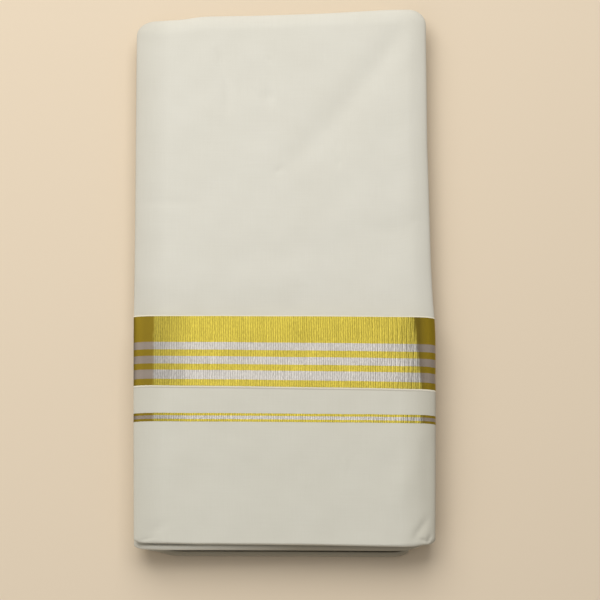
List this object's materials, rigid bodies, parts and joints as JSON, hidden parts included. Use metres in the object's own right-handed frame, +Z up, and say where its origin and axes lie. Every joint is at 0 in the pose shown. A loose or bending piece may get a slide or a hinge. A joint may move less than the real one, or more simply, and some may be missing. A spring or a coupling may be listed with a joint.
{
  "type": "folded dhoti",
  "caption": "Cream cotton dhoti folded into a flat rectangular packet, its gold and silver zari border end turned up over the front.",
  "frame": {"origin": "centre of the bounding box in plan, on the surface that the packet rests on", "axes": "+X across the packet to its right edge, +Y from the bottom fold to the top fold, +Z up out of the front face"},
  "size_m": [0.2156, 0.4137, 0.0268],
  "materials": {
    "zari_border": "cream cotton with woven bands of gold and silver zari, softly metallic, finely ribbed",
    "cream_cotton": "plain woven off-white cotton, matte",
    "folded_layers": "stacked plies of off-white cotton, matte",
    "underside_cotton": "plain woven off-white cotton, matte"
  },
  "bodies": {
    "root": {"border_flap": "zari_border", "front_panel": "cream_cotton", "folded_core": "folded_layers", "under_panel": "underside_cotton"}
  },
  "joints": []
}
